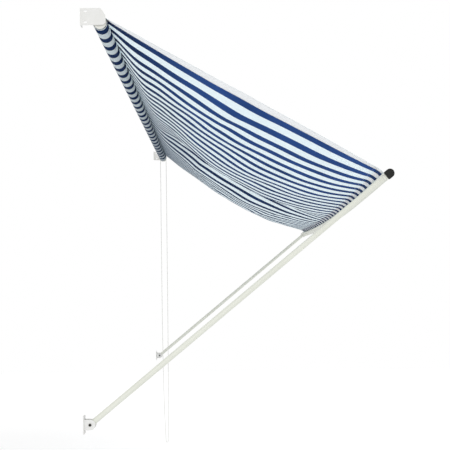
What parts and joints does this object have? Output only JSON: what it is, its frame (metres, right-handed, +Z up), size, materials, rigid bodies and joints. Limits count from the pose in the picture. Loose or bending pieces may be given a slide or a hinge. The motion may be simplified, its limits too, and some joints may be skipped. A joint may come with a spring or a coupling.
{
  "type": "drop-arm awning",
  "caption": "Wall-mounted drop-arm awning: striped canvas from a roller down to a front bar on two round arms, with a looped operating cord.",
  "frame": {"origin": "in the plane of the wall, half-way along the roller, at the height of the roller's axis", "axes": "+X along the roller to the cord side, +Y into the wall, +Z up; the awning opens towards -Y"},
  "size_m": [3.1086, 1.1874, 2.27],
  "materials": {
    "plate_white": "satin powder coat",
    "tube_white": "satin powder coat",
    "cap_black": "satin black moulding",
    "bolt_dark": "black oxide",
    "zinc": "bright zinc",
    "nylon_white": "satin moulding",
    "canopy_cloth": "woven, blue and white stripes",
    "welt_grey": "matt",
    "cord_white": "braided"
  },
  "bodies": {
    "wall_frame": {"upper_bracket_left": "plate_white", "upper_bracket_right": "plate_white", "roller_pin_left": "zinc", "roller_pin_right": "zinc", "foot_bracket_left": "plate_white", "foot_bracket_right": "plate_white", "pivot_bolt_left": "bolt_dark", "pivot_bolt_right": "bolt_dark", "pivot_nut_left": "bolt_dark", "pivot_nut_right": "bolt_dark", "canopy_sheet": "canopy_cloth", "cord_loop": "cord_white"},
    "arms": {"arm_left": "tube_white", "arm_right": "tube_white", "arm_foot_left": "nylon_white", "arm_foot_right": "nylon_white", "arm_head_left": "nylon_white", "arm_head_right": "nylon_white", "head_bolt_left": "zinc", "head_bolt_right": "zinc", "front_bar": "tube_white", "bar_cap_left": "cap_black", "bar_cap_right": "cap_black", "bar_welt": "welt_grey"},
    "roller": {"roller_tube": "zinc", "roller_welt": "welt_grey", "roller_plug_left": "nylon_white", "roller_plug_right": "nylon_white", "cord_wheel": "nylon_white", "wheel_screw_front": "zinc", "wheel_screw_back": "zinc", "canopy_roll": "canopy_cloth"}
  },
  "joints": [
    {"name": "arms_swing", "type": "hinge", "parent": "wall_frame", "child": "arms", "pos_m": [0, -0.026, -1.541], "axis": [-1, 0, 0], "range_deg": [0, 47], "deforming": ["canopy_sheet"]},
    {"name": "roller_turn", "type": "hinge", "parent": "wall_frame", "child": "roller", "pos_m": [0, -0.074, 0], "axis": [-1, 0, 0], "range_deg": [0, 2300]}
  ],
  "couplings": [
    {"joint": "roller_turn", "follows": "arms_swing", "ratio": 48.8}
  ]
}
